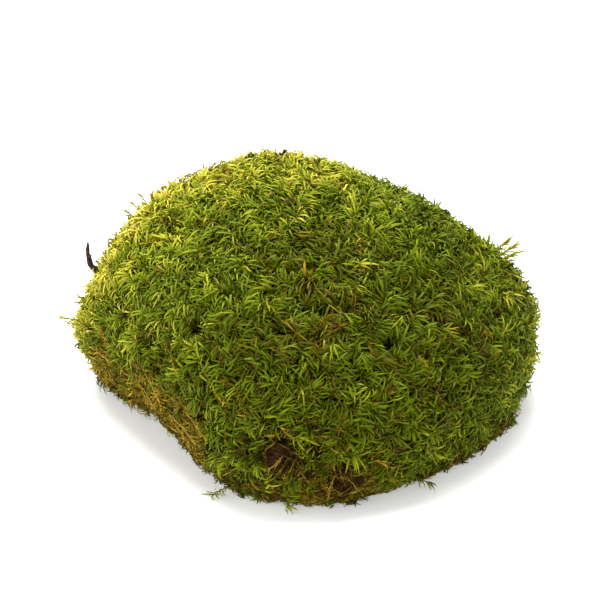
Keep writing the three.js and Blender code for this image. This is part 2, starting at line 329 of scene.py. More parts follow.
class Growth:
    """Gathers the leaves and stems of a plant piece. Each vertex has a tone, which picks its colour,
    and how far along its leaf or stem it is."""

    def __init__(self):
        self.points = []
        self.faces = []
        self.marks = []

    def strip(self, middles, sides, tone):
        """A flat leaf along its middle line: sides gives half its width as a vector, none at the tip."""
        start = len(self.points)
        last = len(middles) - 1
        for number, (middle, side) in enumerate(zip(middles[:-1], sides)):
            self.points += [middle - side, middle + side]
            along = number / last
            self.marks += [(tone - TONE_SLANT, along), (tone + TONE_SLANT, along)]
        self.points.append(middles[-1])
        self.marks.append((tone, 1.0))
        for number in range(last - 1):
            low = start + 2 * number
            self.faces.append((low, low + 1, low + 3, low + 2))
        self.faces.append((start + 2 * last - 2, start + 2 * last - 1, start + 2 * last))

    def tube(self, middles, radii, tone, columns=3):
        """A thin stem along its middle line, open where it is rooted and pointed at its tip."""
        start = len(self.points)
        last = len(middles) - 1
        way = (middles[-1] - middles[0]).normalized()
        first = way.orthogonal().normalized()
        second = way.cross(first)
        for number, (middle, radius) in enumerate(zip(middles, radii)):
            for column in range(columns):
                turn = 2 * math.pi * column / columns
                self.points.append(middle + (first * math.cos(turn) + second * math.sin(turn)) * radius)
                self.marks.append((tone + TONE_SLANT * math.cos(turn), number / last))
        for number in range(last):
            low = start + number * columns
            for column in range(columns):
                after = (column + 1) % columns
                self.faces.append((low + column, low + after, low + columns + after,
                                   low + columns + column))

    def to_mesh(self, name):
        """All of it as one mesh, its marks as a UV map that the export keeps."""
        mesh = bpy.data.meshes.new(name)
        mesh.from_pydata(self.points, [], self.faces)
        layer = mesh.uv_layers.new(name="OFBake")
        corners = np.empty(len(mesh.loops), np.int32)
        mesh.loops.foreach_get("vertex_index", corners)
        layer.data.foreach_set("uv", np.array(self.marks, np.float32)[corners].ravel())
        mesh.shade_smooth()
        return mesh


def paint_growth(tree):
    """Leaves and stems: the tone runs from dark soil brown over straw and dark green to golden. Each is
    darker towards its base as painted shade, and lighter and yellower at its tip as painted light
    shining through it.
    """
    mark = tree.add("ShaderNodeUVMap", {"uv_map": "OFBake"})
    tone = tree.add("ShaderNodeSeparateXYZ", inputs={"Vector": mark})
    along = Wire(tree, tone.socket.node.outputs["Y"])
    colour = tree.add("ShaderNodeValToRGB", {"stops": [
        (0.00, srgb(42, 30, 8)), (0.05, srgb(82, 67, 15)), (0.10, srgb(130, 108, 26)),
        (0.15, srgb(204, 170, 56)), (0.21, srgb(160, 144, 22)), (0.28, srgb(104, 90, 6)),
        (0.42, srgb(84, 96, 0)), (0.58, srgb(112, 132, 8)), (0.70, srgb(156, 166, 32)),
        (0.84, srgb(196, 190, 52)), (1.00, srgb(230, 214, 92)),
    ]}, {"Fac": tone})
    # Painted shade towards the base of each leaf and stem, and painted light shining through its tip.
    leaf_painted_shade_and_glow = tree.add("ShaderNodeValToRGB", {"stops": [
        (0.0, (0.3, 0.28, 0.22, 1)), (0.35, (0.72, 0.72, 0.66, 1)), (0.8, (1, 1, 1, 1)),
        (1.0, (1.15, 1.05, 0.9, 1)),
    ]}, {"Fac": along})
    colour_with_painted_light = tree.add("ShaderNodeMix", {"data_type": "RGBA", "blend_type": "MULTIPLY"},
                      {"Factor": 1.0, 6: colour, 7: leaf_painted_shade_and_glow}, output=2)
    return {"Base Color": colour_with_painted_light, "Roughness": 0.7 - along * 0.14, "Specular IOR Level": 0.08}


growth_paint = finish_paint("leaf_and_stem", paint_growth)


def grow_fibre(number):
    """One dead stem or rhizoid, lying along X with a bend of its own, as a three-sided thread."""
    dice = random.Random(number)
    bend = Vector((0, dice.uniform(-0.35, 0.35), dice.uniform(0.05, 0.3)))
    wave = dice.uniform(-0.12, 0.12)
    middles = []
    for step in range(5):
        share = step / 4
        middles.append(FIBRE_LENGTH * (Vector((share - 0.5, wave * math.sin(5 * share), 0))
                                       + bend * (share - 0.5) ** 2))
    radii = [FIBRE_GIRTH / 2 * size for size in (0.8, 1.0, 0.9, 0.7, 0.15)]
    growth = Growth()
    growth.tube(middles, radii, 0.0)
    return growth.to_mesh(f"fibre_form_{number}")


def shelve(name, meshes):
    """A collection of forms for the planting tree to choose from, kept out of the scene."""
    shelf = bpy.data.collections.new(name)
    for mesh in meshes:
        shelf.objects.link(bpy.data.objects.new(mesh.name, mesh))
    return shelf


PLANTING_INPUTS = [
    ("Skin", "NodeSocketGeometry"), ("Forms", "NodeSocketCollection"), ("Paint", "NodeSocketMaterial"),
    ("Spacing", "NodeSocketFloat"), ("Lean", "NodeSocketFloat"), ("Lying", "NodeSocketFloat"),
    ("Roll", "NodeSocketFloat"), ("Smallest", "NodeSocketFloat"), ("Largest", "NodeSocketFloat"),
    ("Patches", "NodeSocketFloat"), ("Mottle", "NodeSocketFloat"), ("Scatter", "NodeSocketFloat"),
    ("Sink", "NodeSocketFloat"), ("Seed", "NodeSocketInt"),
]


def make_planting():
    """The tree that plants forms on a skin that sow has written on. Lean and Patches set how they
    swirl, and Mottle and Scatter how far their tones vary."""
    group = bpy.data.node_groups.new("planting", "GeometryNodeTree")
    for name, kind in PLANTING_INPUTS:
        group.interface.new_socket(name=name, in_out="INPUT", socket_type=kind)
    group.interface.new_socket(name="Planted", in_out="OUTPUT", socket_type="NodeSocketGeometry")
    tree = Tree(group)
    start = tree.add("NodeGroupInput").socket.node
    given = {name: Wire(tree, start.outputs[name]) for name, _ in PLANTING_INPUTS}

    def attribute(name, kind="FLOAT"):
        return tree.add("GeometryNodeInputNamedAttribute", {"data_type": kind}, {"Name": name})

    def chance(low, high, salt):
        return tree.add("FunctionNodeRandomValue", {"data_type": "FLOAT"},
                        {2: low, 3: high, "Seed": given["Seed"] + salt}, output=1)

    def vector(operation, *parts, **sockets):
        inputs = dict(enumerate(parts)) | sockets
        return tree.add("ShaderNodeVectorMath", {"operation": operation}, inputs)

    sown = tree.add("GeometryNodeDistributePointsOnFaces", {"distribute_method": "POISSON"}, {
        "Mesh": given["Skin"], "Distance Min": given["Spacing"], "Density Max": DENSEST_GROWTH,
        "Density Factor": attribute("grows"), "Seed": given["Seed"],
    })
    upward = Wire(tree, sown.socket.node.outputs["Normal"])
    place = tree.add("GeometryNodeInputPosition")
    patches = tree.add("ShaderNodeTexNoise", {"noise_dimensions": "3D"},
                       {"Vector": place, "Scale": given["Patches"], "Detail": 2.0}, output="Color")
    drift = vector("SUBTRACT", patches, (0.5, 0.5, 0.5))
    fine = tree.add("ShaderNodeTexNoise", {"noise_dimensions": "3D"},
                    {"Vector": place, "Scale": given["Patches"] * MOTTLE_FINENESS, "Detail": 2.0})
    combed = vector("ADD", attribute("comb", "FLOAT_VECTOR"),
                    vector("SCALE", drift, Scale=given["Lean"]))
    stand = vector("SCALE", upward, Scale=1 - given["Lying"])
    leaning = vector("ADD", stand, combed)
    upright = tree.add("FunctionNodeAlignRotationToVector", {"axis": "Z"},
                       {"Vector": vector("ADD", vector("SCALE", leaning, Scale=1 - given["Lying"]),
                                         vector("SCALE", upward, Scale=given["Lying"]))})
    swept = tree.add("FunctionNodeAlignRotationToVector", {"axis": "X", "pivot_axis": "Z"},
                     {"Rotation": upright, "Vector": combed})
    roll = tree.add("FunctionNodeAxisAngleToRotation",
                    inputs={"Axis": (0, 0, 1), "Angle": chance(-1.0, 1.0, 1) * given["Roll"]})
    turned = tree.add("FunctionNodeRotateRotation", {"rotation_space": "LOCAL"},
                      {"Rotation": swept, "Rotate By": roll})

    browned = chance(0.0, 1.0, 2) < attribute("browned")
    green_tone = (attribute("tone") + (fine - 0.5) * given["Mottle"]
                  + chance(-1.0, 1.0, 3) * given["Scatter"])
    brown_tone = chance(0.02, 0.12, 4)
    tone = green_tone * (1 - browned) + brown_tone * browned
    kept_tone = tree.add("ShaderNodeClamp", inputs={"Value": tone, "Min": 0.01, "Max": 0.99})
    marked = tree.add("GeometryNodeStoreNamedAttribute", {"data_type": "FLOAT", "domain": "POINT"},
                      {"Geometry": sown, "Name": "own_tone", "Value": kept_tone})
    sunk = tree.add("GeometryNodeSetPosition", inputs={
        "Geometry": marked, "Offset": vector("SCALE", upward, Scale=0 - given["Sink"])})
    forms = tree.add("GeometryNodeCollectionInfo", inputs={
        "Collection": given["Forms"], "Separate Children": True, "Reset Children": True})
    size = chance(0.0, 1.0, 5) * (given["Largest"] - given["Smallest"]) + given["Smallest"]
    grown = size * (fine * 0.7 + 0.65)
    planted = tree.add("GeometryNodeInstanceOnPoints", inputs={
        "Points": sunk, "Instance": forms, "Pick Instance": True,
        "Instance Index": tree.add("FunctionNodeRandomValue", {"data_type": "INT"},
                                   {4: 0, 5: 1000, "Seed": given["Seed"] + 6}, output=2),
        "Rotation": turned, "Scale": grown,
    })
    real = tree.add("GeometryNodeRealizeInstances", inputs={"Geometry": planted})
    own_mark = attribute("OFBake", "FLOAT_VECTOR")
    shift = tree.add("ShaderNodeCombineXYZ", inputs={"X": attribute("own_tone")})
    coloured = tree.add("GeometryNodeStoreNamedAttribute", {"data_type": "FLOAT2", "domain": "CORNER"},
                        {"Geometry": real, "Name": "OFBake", "Value": vector("ADD", own_mark, shift)})
    painted = tree.add("GeometryNodeSetMaterial", inputs={
        "Geometry": coloured, "Material": given["Paint"]})
    tree.add("NodeGroupOutput", inputs={"Planted": painted})
    return group


planting = make_planting()


def plant(name, skin, **settings):
    """The planted forms on a skin as one plain mesh, nothing of it below the table."""
    bed = bpy.data.objects.new(name + "_bed", skin)
    bpy.context.scene.collection.objects.link(bed)
    modifier = bed.modifiers.new("planting", "NODES")
    modifier.node_group = planting
    for socket in planting.interface.items_tree:
        if socket.name in settings:
            modifier[socket.identifier] = settings[socket.name]
    mesh = plain_mesh(bed, name)
    for layer in list(mesh.attributes):
        if layer.name in ("own_tone", "tone", "browned", "grows", "comb"):
            mesh.attributes.remove(layer)
    places = places_of(mesh)
    places[:, 2] = np.maximum(places[:, 2], LEAF_ABOVE_TABLE)
    put_places(mesh, places)
    return mesh


felt_paint = finish_paint("rhizoid_felt", paint_felt)
felt_mesh = reskinned("rhizoid_mat", FELT_VOXEL)
rumple(felt_mesh, FELT_ROUGHNESS, FELT_LUMPS_PER_METRE)
felt = add_piece("felt_of_rhizoids", felt_mesh, felt_paint)
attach(felt, "root")
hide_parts("rhizoid_mat")

felt_places = places_of(felt_mesh)
felt_normals = normals_of(felt_mesh)
under_mound = felt_normals[:, 2] > 0.6
on_foot = felt_normals[:, 2] < -0.8
around = unit_rows(np.stack([-felt_places[:, 1], felt_places[:, 0], 0 * felt_places[:, 0]], 1))
fibre_forms = shelve("fibre_forms", [grow_fibre(number) for number in range(FIBRE_FORMS)])
fibre_skin = felt_mesh.copy()
sow(fibre_skin, grows=np.where(under_mound, 0.0, np.where(on_foot, 0.25, 1.0)), tone=0.17,
    browned=0.6, comb=around + np.array([0, 0, -0.25]))
fibre_mesh = plant("felt_fibres", fibre_skin, Forms=fibre_forms, Paint=growth_paint,
                   Spacing=FIBRE_SPACING, Lean=2.4, Lying=1.0, Roll=0.7, Smallest=0.5, Largest=1.1,
                   Patches=90.0, Mottle=0.1, Scatter=0.06, Sink=0.05 * MM, Seed=11)
fibres = add_piece("felt_fibres", fibre_mesh, growth_paint)
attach(fibres, "root")

# ---------------------------------------------------------------- Packed shoot bases
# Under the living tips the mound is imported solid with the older, browned lengths of the same
# shoots. They show only as the dark pits between the tips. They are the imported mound's own skin,
# drawn in by about the tips' length and rumpled.

MOUND_VOXEL = 1.5 * MM
TIP_DEPTH = 5.0 * MM
CROWN_RISE = 2.2 * MM
CROWN_SLOPE_REACH = 35 * MM
TWIG_HOLLOW = 3 * MM
TWIG_HOLLOW_REACH = 15 * MM
BESIDE_TWIG = np.array([4, -4, 0]) * MM
MOUND_SWELL = 1.1 * MM
MOUND_SWELLS_PER_METRE = 62
BASES_ROUGHNESS = 1.2 * MM
BASES_LUMPS_PER_METRE = 220


def paint_bases(tree):
    """Nearly black old growth with a dull green and brown in its lumps."""
    lumps = object_noise(tree, scale=260)
    grain = object_noise(tree, scale=1500, detail=3.0, roughness=0.7)
    colour = tree.add("ShaderNodeValToRGB", {"stops": [
        (0.3, srgb(16, 14, 4)), (0.5, srgb(36, 38, 6)), (0.62, srgb(58, 52, 14)),
        (0.78, srgb(84, 74, 22)),
    ]}, {"Fac": lumps * 0.6 + grain * 0.4})
    bump = tree.add("ShaderNodeBump",
                    inputs={"Height": lumps + grain * 0.6, "Distance": 1.0 * MM, "Strength": 1.0})
    return {"Base Color": colour, "Roughness": 0.97 - grain * 0.15, "Normal": bump,
            "Specular IOR Level": 0.15}


def middle_of(node):
    """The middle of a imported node's box."""
    low, high = (np.array(corner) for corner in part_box(node))
    return (low + high) / 2


def near(places, spot, reach):
    """1 at a spot, falling off with distance."""
    return np.exp(-(np.linalg.norm(places - spot, axis=1) / reach) ** 2)


mound = reskinned("moss_cushion", MOUND_VOXEL)
mound_places = places_of(mound)
mound_normals = normals_of(mound)
# The skin is drawn in along its normals, but its underside isn't lifted off the felt.
pull = mound_normals.copy()
pull[:, 2] = np.maximum(pull[:, 2], 0)
# The crown stands higher towards its left, and a hollow lies beside the twig.
leftwards = np.clip(0.6 - mound_places[:, 0] / CROWN_SLOPE_REACH, -0.8, 1)
crown_rise = np.maximum(mound_normals[:, 2], 0) * leftwards
hollow = near(mound_places, middle_of("stray_twig") + BESIDE_TWIG, TWIG_HOLLOW_REACH)
depth = TIP_DEPTH - CROWN_RISE * crown_rise + TWIG_HOLLOW * hollow
put_places(mound, mound_places - pull * depth[:, None])
rumple(mound, MOUND_SWELL, MOUND_SWELLS_PER_METRE)
bases_mesh = mound.copy()
rumple(bases_mesh, BASES_ROUGHNESS, BASES_LUMPS_PER_METRE)
bases = add_piece("packed_shoot_bases", bases_mesh, finish_paint("old_growth", paint_bases))
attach(bases, "root")
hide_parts("moss_cushion")

# ---------------------------------------------------------------- Living shoots
# Thousands of upright shoots, each with narrow leaves in a spiral that curve over to one side like
# sickles. They lean together in swirls, golden at the crown and fresher green down the flanks. Part of
# the gold is painted backlight, and their tones also carry painted light on the left and painted shade
# at the front. They are planted on the mound's skin in nine parts: the crown and eight sides.

LEAF_LENGTH = 3.8 * MM
LEAF_WIDTH = 0.48 * MM
SHOOT_HEIGHT = 6.4 * MM
SHOOT_SPACING = 1.12 * MM
LEAF_PLACES = (0.0, 0.27, 0.55, 0.8, 1.0)
LEAF_SHAPE = (0.7, 1.0, 0.85, 0.5)
SHOOT_LEAVES = 16
GOLDEN_TURN = math.radians(137.5)
SHOOT_FORMS = 8
DEAD_STEMS = 12
LOW_DEAD_STEMS = 6
CROWN_FRONT = np.array([-6, 11]) * MM
# A spot on the right flank where the tone is darkened as painted shade.
SHADED_SPOT_ON_FLANK = np.array([30, -25, 32]) * MM
TONE_SWELLS_PER_METRE = 75
FLANK_TONE = 0.52
STRAW_TONE = 0.2
CROWN_SHARE = 0.83
SECTORS = ["right", "right_back", "back", "left_back", "left", "left_front", "front", "right_front"]
SECTOR_TURN = 2 * math.pi / len(SECTORS)


def add_leaf(growth, foot, stem_way, outward, sweep, length, width, tone, spread):
    """A narrow leaf that leaves its stem slanting outwards and curves over to where all of them go."""
    rise = (stem_way * 0.75 + outward * spread).normalized()
    middles = [foot + (rise * share * (1 - 0.35 * share - 0.4 * share ** 2)
                       + sweep * 0.85 * share ** 2) * length for share in LEAF_PLACES]
    sides = []
    for number, shape in enumerate(LEAF_SHAPE):
        along = (middles[number + 1] - middles[number]).normalized()
        across = along.cross(outward + stem_way * 0.4)
        if across.length < 1e-4:
            across = along.orthogonal()
        sides.append(across.normalized() * width / 2 * shape)
    growth.strip(middles, sides, tone)


def add_shoot(growth, path, sweep, leaves, size, tone, dice, first=0.25, spread=0.62):
    """A stem along a path, with leaves set round it in a spiral from a share of its length to its
    tip. Spread says how far they stand off it."""
    growth.tube([path[0], path[len(path) // 2], path[-1]],
                [0.22 * MM * size, 0.2 * MM * size, 0.08 * MM * size], tone)
    turn = dice.uniform(0, 2 * math.pi)
    for number in range(leaves):
        share = first + (1 - first) * number / (leaves - 1)
        spot = share * (len(path) - 1)
        low = min(int(spot), len(path) - 2)
        foot = path[low].lerp(path[low + 1], spot - low)
        way = (path[low + 1] - path[low]).normalized()
        turn += GOLDEN_TURN
        side = way.orthogonal().normalized()
        outward = side * math.cos(turn) + way.cross(side) * math.sin(turn)
        outward = (outward + way * 0.9 * share ** 3).normalized()
        length = LEAF_LENGTH * size * (0.75 + 0.35 * share) * dice.uniform(0.85, 1.15)
        bend = sweep + outward * dice.uniform(0.1, 1.1) + way * dice.uniform(-0.6, 0.4)
        bend = bend.normalized() * dice.uniform(0.6, 1.2)
        add_leaf(growth, foot, way, outward, bend, length, LEAF_WIDTH * size * dice.uniform(0.8, 1.15),
                 tone + dice.uniform(-0.03, 0.03), spread)


def grow_shoot_form(number):
    """One shoot that stands on the origin, its leaves sweeping towards +X."""
    dice = random.Random(100 + number)
    growth = Growth()
    lean = Vector((dice.uniform(0.0, 0.25), dice.uniform(-0.1, 0.1), 1)).normalized()
    path = [lean * SHOOT_HEIGHT * share * 0.62 + Vector((0.5 * MM * share ** 2, 0, 0))
            for share in (-0.2, 0.25, 0.6, 1.0)]
    add_shoot(growth, path, Vector((1, 0, -0.12)).normalized(), SHOOT_LEAVES, 1.0, 0.0, dice)
    return growth.to_mesh(f"shoot_form_{number}")


def ease(values, low, high):
    """Rises smoothly from 0 at low to 1 at high."""
    share = np.clip((values - low) / (high - low), 0, 1)
    return share * share * (3 - 2 * share)


def near_hem(places, low_reach, high_reach):
    """1 along the front left hem, where the dead stems lie, falling off with distance from them."""
    line = np.zeros(len(places))
    for number in range(1, DEAD_STEMS + 1):
        reach = low_reach if number <= LOW_DEAD_STEMS else high_reach
        line = np.maximum(line, near(places, middle_of(f"dead_stem_{number}"), reach))
    return line


def outwards_of(places):
    """The level way from the clump's upright middle line out to each place."""
    return unit_rows(places * np.array([1, 1, 0]))


mound_low, mound_high = (np.array(corner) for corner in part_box("moss_cushion"))
# Round the shoulders the tone is lifted below: partly their own golden colour, partly painted backlight.
left_shoulder = middle_of("left_shoulder_shoot_2")
right_shoulder = middle_of("right_shoulder_shoot_2")
crown_front = np.array([*CROWN_FRONT, mound_high[2]])
clods = [middle_of("soil_clod_1"), middle_of("soil_clod_2")]

# How far each place of the skin is in each part of the mound.
skin = places_of(mound)
skin_normals = normals_of(mound)
height = (skin[:, 2] - mound_low[2]) / (mound_high[2] - mound_low[2])
# Lighter towards the top and back of the crown: partly the crown's own golden colour, partly painted
# backlight.
crown_gold_and_painted_backlight = ease(height + 5 * skin[:, 1], 0.8, 1.15)
# Lighter towards the brim at the foot of the mound: partly its own golden colour, partly painted light.
brim_gold_and_painted_light = (1 - ease(height, 0.1, 0.42)) * 0.5
# The front, whose tone is darkened below as painted shade.
front = ease(-skin[:, 1], -0.01, 0.05)
# The left, whose tone is lifted below: partly its own golden colour, partly painted light from the left.
left = ease(-skin[:, 0], 0.01, 0.05)
hem_line = near_hem(skin, 10 * MM, 5 * MM)
straw_share = ease(hem_line, 0.22, 0.7)
swells = np.array([noise.fractal(Vector(place) * TONE_SWELLS_PER_METRE, 1.0, 2.0, 3)
                   for place in skin])

# The tone rises to golden at the crown, the left, the shoulders and the brim. This is partly their own
# golden colour and partly painted light, which is painted backlight at the top and back of the crown and
# on the shoulders. It sinks at the front and on a spot of the right flank as painted shade. At the hem
# it turns to straw.
tone = (FLANK_TONE + 0.34 * crown_gold_and_painted_backlight + 0.12 * left * (1 - crown_gold_and_painted_backlight) + 0.1 * brim_gold_and_painted_light
        + 0.14 * swells
        + 0.26 * near(skin, left_shoulder, 24 * MM) + 0.14 * near(skin, right_shoulder, 15 * MM)
        - 0.08 * front * (1 - crown_gold_and_painted_backlight)
        - 0.07 * near(skin, SHADED_SPOT_ON_FLANK, 13 * MM))
tone = tone * (1 - straw_share) + STRAW_TONE * straw_share

# Browned shoots stand among the others, most of them by the clods and in front of the crown.
browned = 0.04 + 0.1 * hem_line ** 2
browned += 0.14 * near(skin, crown_front, 14 * MM)
for clod in clods:
    browned += 0.5 * near(skin, clod, 9 * MM)

# Nothing grows on the mound's underside, and little right on the clods.
grows = np.where(skin_normals[:, 2] < -0.75, 0.0, 1.0)
for clod in clods:
    grows *= 1 - 0.75 * ease(near(skin, clod, 4.8 * MM), 0.35, 0.7)

# The shoots lean outwards and down, more so down the flanks, and along the hem.
downhill = (outwards_of(skin) * 0.5 + np.array([0, 0, -0.7])) * (0.35 * (1 - height))[:, None]
along_hem = np.array([0.5, -0.8, -0.3]) * 1.6 * hem_line[:, None]
comb = downhill * (1 - hem_line[:, None]) + along_hem
sow(mound, grows=grows, tone=tone, browned=browned, comb=comb)

shoot_forms = shelve("shoot_forms", [grow_shoot_form(number) for number in range(SHOOT_FORMS)])
crown_level = mound_low[2] + CROWN_SHARE * (mound_high[2] - mound_low[2])


def part_of_mound(name, keep):
    """The part of the mound's skin whose face middles the function keep picks."""
    mesh = mound.copy()
    mesh.name = name
    patch = bmesh.new()
    patch.from_mesh(mesh)
    others = [face for face in patch.faces if not keep(face.calc_center_median())]
    bmesh.ops.delete(patch, geom=others, context="FACES")
    patch.to_mesh(mesh)
    patch.free()
    return mesh


def sector_of(place):
    """The side of the clump that a place is on, each side an eighth of a turn."""
    turn = math.atan2(place.y, place.x) + SECTOR_TURN / 2
    return SECTORS[int(turn % (2 * math.pi) / SECTOR_TURN) % len(SECTORS)]


def plant_shoots(name, skin_part, seed):
    """The living shoots on one part of the mound's skin, as a piece."""
    mesh = plant(name, skin_part, Forms=shoot_forms, Paint=growth_paint, Spacing=SHOOT_SPACING,
                 Lean=1.6, Lying=0.0, Roll=2.5, Smallest=0.8, Largest=1.2, Patches=130.0,
                 Mottle=0.7, Scatter=0.14, Sink=0.2 * MM, Seed=seed)
    shoots = add_piece(name, mesh, growth_paint)
    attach(shoots, "root")


plant_shoots("crown_shoots", part_of_mound("crown", lambda place: place.z >= crown_level), 21)
for number, sector in enumerate(SECTORS):
    plant_shoots(f"{sector}_shoots", part_of_mound(
        sector, lambda place: place.z < crown_level and sector_of(place) == sector), 31 + number)

# ---------------------------------------------------------------- Skirt shoots
# Below the brim, lower shoots hang over the side of the felt. They get little light, so some are
# browned, and the felt shows between them. They are planted on the felt's side, but not by the hem,
# where the felt lies bare under the dead stems.

SKIRT_SPACING = 1.5 * MM
SKIRT_GAPS_PER_METRE = 60

skirt_patches = np.array([noise.noise(Vector(place) * SKIRT_GAPS_PER_METRE)
                          for place in felt_places])
felt_hem_line = near_hem(felt_places, 14 * MM, 14 * MM)
by_hem = ease(felt_hem_line, 0.25, 0.7)
felt_side = (np.abs(felt_normals[:, 2]) < 0.75) * ease(felt_places[:, 2], 1.0 * MM, 4.0 * MM)
skirt_skin = felt_mesh.copy()
sow(skirt_skin, grows=felt_side * ease(skirt_patches, -0.9, -0.2) * (1 - by_hem),
    tone=FLANK_TONE - 0.34 * felt_hem_line, browned=0.2,
    comb=outwards_of(felt_places) * 0.4 + np.array([0, 0, -0.8]))
skirt_mesh = plant("skirt_shoots", skirt_skin, Forms=shoot_forms, Paint=growth_paint,
                   Spacing=SKIRT_SPACING, Lean=1.2, Lying=0.0, Roll=1.6, Smallest=0.6, Largest=0.9,
                   Patches=130.0, Mottle=0.5, Scatter=0.14, Sink=2.4 * MM, Seed=45)
skirt = add_piece("skirt_shoots", skirt_mesh, growth_paint)
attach(skirt, "root")

# ---------------------------------------------------------------- Soil clods
# Two clods of dark, crumbly humus that came up with the clump, held in its front edge. Each is a
# rumpled lump with crumbs and roots planted on it, and loose crumbs lie among the shoots round both.

CLOD_VOXEL = 0.45 * MM
CLOD_ROUGHNESS = 1.5 * MM
CLOD_LUMPS_PER_METRE = 260
CRUMB_RADIUS = 0.5 * MM
CRUMB_LUMPS_PER_METRE = 1500
CRUMB_FORMS = 5
OLD_STEM_LENGTH = 9 * MM
OLD_STEM_LEAVES = 12
OLD_STEM_FORMS = 5
CLOD_REACH = 8 * MM
LOOSE_CRUMB_RISE = 2.4 * MM


def paint_soil(tree):
    """Dark brown humus with paler grit."""
    lumps = object_noise(tree, scale=420)
    grit = object_noise(tree, scale=2600, detail=3.0, roughness=0.75)
    colour = tree.add("ShaderNodeValToRGB", {"stops": [
        (0.3, srgb(16, 9, 3)), (0.5, srgb(48, 28, 9)), (0.64, srgb(88, 56, 22)),
        (0.8, srgb(140, 104, 56)),
    ]}, {"Fac": lumps * 0.5 + grit * 0.5})
    bump = tree.add("ShaderNodeBump",
                    inputs={"Height": lumps + grit, "Distance": 0.5 * MM, "Strength": 1.0})
    return {"Base Color": colour, "Roughness": 0.96 - grit * 0.15, "Normal": bump,
            "Specular IOR Level": 0.08}


def grow_crumb(number):
    """One crumb of soil on the origin, an uneven lump of twenty faces."""
    ball = bmesh.new()
    bmesh.ops.create_icosphere(ball, subdivisions=1, radius=CRUMB_RADIUS)
    for point in ball.verts:
        spot = point.co * CRUMB_LUMPS_PER_METRE + Vector((number * 3.7, 0, 0))
        point.co *= 1 + 0.5 * noise.noise(spot)
        point.co.z *= 0.75
    mesh = bpy.data.meshes.new(f"crumb_form_{number}")
    ball.to_mesh(mesh)
    ball.free()
    return mesh


def grow_old_stem(number):
    """One old shoot lying along X, its withered leaves pressed along it."""
    dice = random.Random(300 + number)
    growth = Growth()
    bow = Vector((0, dice.uniform(-1, 1), dice.uniform(0.2, 0.8))) * MM
    path = [Vector((share - 0.5, 0, 0)) * OLD_STEM_LENGTH + bow * math.sin(math.pi * share)
            for share in (0, 0.33, 0.66, 1)]
    add_shoot(growth, path, sweep=Vector((1, 0, 0.1)), leaves=OLD_STEM_LEAVES, size=0.75, tone=0.0,
              dice=dice, first=0.1, spread=0.25)
    return growth.to_mesh(f"old_stem_form_{number}")


def plant_crumbs(name, skin_part, **settings):
    """Crumbs of soil on a skin, without the leaves' UV map, which soil doesn't need."""
    mesh = plant(name, skin_part, Forms=crumb_forms, Paint=soil_paint, Lean=2.0, Lying=0.0, Roll=3.0,
                 Patches=300.0, Mottle=0.0, Scatter=0.14, Sink=0.0, **settings)
    mesh.attributes.remove(mesh.attributes["OFBake"])
    return add_piece(name, mesh, soil_paint)


soil_paint = finish_paint("humus", paint_soil)
old_stem_forms = shelve("old_stem_forms", [grow_old_stem(number) for number in range(OLD_STEM_FORMS)])
crumb_forms = shelve("crumb_forms", [grow_crumb(number) for number in range(CRUMB_FORMS)])
for number in (1, 2):
    clod_mesh = reskinned(f"soil_clod_{number}", CLOD_VOXEL)
    rumple(clod_mesh, CLOD_ROUGHNESS, CLOD_LUMPS_PER_METRE)
    clod = add_piece(f"clod_of_soil_{number}", clod_mesh, soil_paint)
    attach(clod, "root")
    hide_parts(f"soil_clod_{number}")
    crumb_skin = clod_mesh.copy()
    sow(crumb_skin, grows=0.5, tone=0.0, browned=0.0, comb=(0.0, 0.0, 0.3))
    crumbs = plant_crumbs(f"crumbs_{number}", crumb_skin, Spacing=0.8 * MM, Smallest=0.7, Largest=2.4,
                          Seed=50 + number)
    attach(crumbs, "root")
    root_skin = clod_mesh.copy()
    sow(root_skin, grows=1.0, tone=0.13, browned=0.5, comb=(0.2, 0.0, -0.6))
    root_mesh = plant(f"roots_on_clod_{number}", root_skin, Forms=old_stem_forms, Paint=growth_paint,
                      Spacing=2.2 * MM, Lean=3.0, Lying=0.8, Roll=1.5, Smallest=0.5, Largest=0.9,
                      Patches=200.0, Mottle=0.3, Scatter=0.14, Sink=-0.6 * MM, Seed=70 + number)
    roots = add_piece(f"roots_on_clod_{number}", root_mesh, growth_paint)
    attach(roots, "root")

near_clods = sum(near(skin, clod, CLOD_REACH) for clod in clods)
loose_skin = mound.copy()
put_places(loose_skin, skin + skin_normals * LOOSE_CRUMB_RISE)
sow(loose_skin, grows=0.7 * near_clods, tone=0.0, browned=0.0, comb=comb)
loose = plant_crumbs("loose_crumbs", loose_skin, Spacing=1.5 * MM, Smallest=1.2, Largest=4.0, Seed=57)
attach(loose, "root")

# ---------------------------------------------------------------- Stray shoots and dead stems
# Single shoots that stand out of the mound or lie at its foot, and straw-brown dead stems combed
# along the front left hem, each with what is left of its leaves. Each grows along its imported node,
# and finer old stems are planted between them, on the mound's skin and as a fringe on the felt.

STEM_STATIONS = 5
STATION_OVERLAP = 0.3 * MM
TUFTS = {
    "left_shoulder": {"shoots": 3, "tone": 0.8, "size": 0.65},
    "right_shoulder": {"shoots": 3, "tone": 0.8, "size": 0.8},
    "left_brim": {"shoots": 2, "tone": 0.8, "size": 0.6},
    "right_brim": {"shoots": 3, "tone": 0.78, "size": 0.7},
    "back_brim": {"shoots": 3, "tone": 0.74, "size": 0.7},
    "front_hem": {"shoots": 3, "tone": 0.66, "size": 0.8},
}
LYING_SHOOTS = 3
OLD_STEM_SPACING = 1.9 * MM
OLD_STEM_RISE = 2.6 * MM
FRINGE_SPACING = 1.3 * MM


